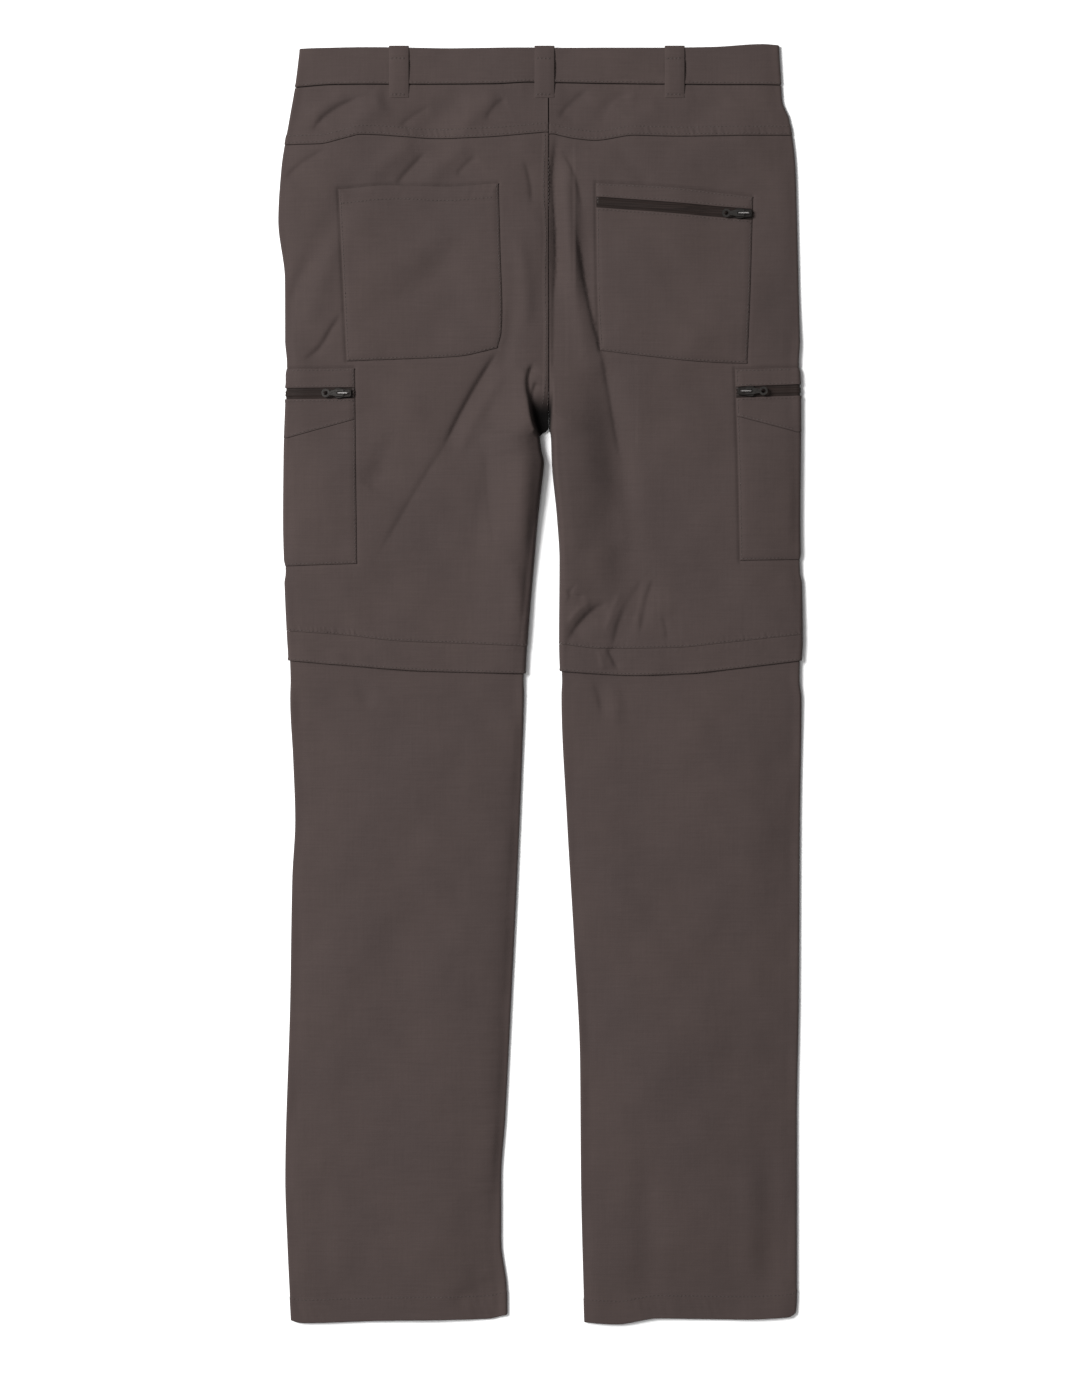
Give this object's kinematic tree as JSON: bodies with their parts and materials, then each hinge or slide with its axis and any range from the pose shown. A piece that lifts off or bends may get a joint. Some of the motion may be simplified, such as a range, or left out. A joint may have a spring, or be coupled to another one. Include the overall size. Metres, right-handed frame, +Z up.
{
  "type": "cargo trousers",
  "caption": "Zip-off cargo trousers laid flat, back up, with a yoke, patch pockets on the seat, wrapped side pockets, belt loops and zip pulls that swing on their sliders.",
  "frame": {"origin": "on the surface that the trousers lie on, under the middle of their bounding box", "axes": "+Z up from the surface, out of the back of the trousers; +Y from the hems to the waist; +X to the wearer's right side"},
  "size_m": [0.4436, 1.0817, 0.0132],
  "materials": {
    "cloth": "matt fine plain-weave nylon, dark grey-brown",
    "zip_tape": "matt woven tape with a nylon coil, near black",
    "zip_metal": "dark gunmetal, half gloss, worn brighter on its edges"
  },
  "bodies": {
    "garment": {"waistband_back": "cloth", "waistband_front_left": "cloth", "waistband_front_right": "cloth", "belt_loop_left": "cloth", "belt_loop_centre": "cloth", "belt_loop_right": "cloth", "yoke_left": "cloth", "yoke_right": "cloth", "back_left": "cloth", "back_right": "cloth", "front_left": "cloth", "front_right": "cloth", "pocket_left": "cloth", "pocket_right_top": "cloth", "pocket_right_panel": "cloth", "cargo_left_top": "cloth", "cargo_left_band": "cloth", "cargo_left_panel": "cloth", "cargo_right_top": "cloth", "cargo_right_band": "cloth", "cargo_right_panel": "cloth", "flap_left_back": "cloth", "flap_left_front": "cloth", "flap_right_back": "cloth", "flap_right_front": "cloth", "lower_left_back": "cloth", "lower_left_front": "cloth", "lower_right_back": "cloth", "lower_right_front": "cloth", "pocket_right_zip": "zip_tape", "cargo_left_zip": "zip_tape", "cargo_right_zip": "zip_tape", "legzip_left_back": "zip_tape", "legzip_left_front": "zip_tape", "legzip_right_back": "zip_tape", "legzip_right_front": "zip_tape", "slider_back": "zip_metal", "slider_left": "zip_metal", "slider_right": "zip_metal"},
    "tab_back": {"pull_back": "zip_metal"},
    "tab_left": {"pull_left": "zip_metal"},
    "tab_right": {"pull_right": "zip_metal"}
  },
  "joints": [
    {"name": "swing_back", "type": "hinge", "parent": "garment", "child": "tab_back", "pos_m": [0.1714, 0.3977, 0.0095], "axis": [0, 1, 0], "range_deg": [0, 175]},
    {"name": "swing_left", "type": "hinge", "parent": "garment", "child": "tab_left", "pos_m": [-0.1666, 0.2457, 0.01105], "axis": [0, 1, 0], "range_deg": [0, 175]},
    {"name": "swing_right", "type": "hinge", "parent": "garment", "child": "tab_right", "pos_m": [0.1734, 0.2474, 0.01105], "axis": [0, -1, 0], "range_deg": [0, 175]}
  ]
}
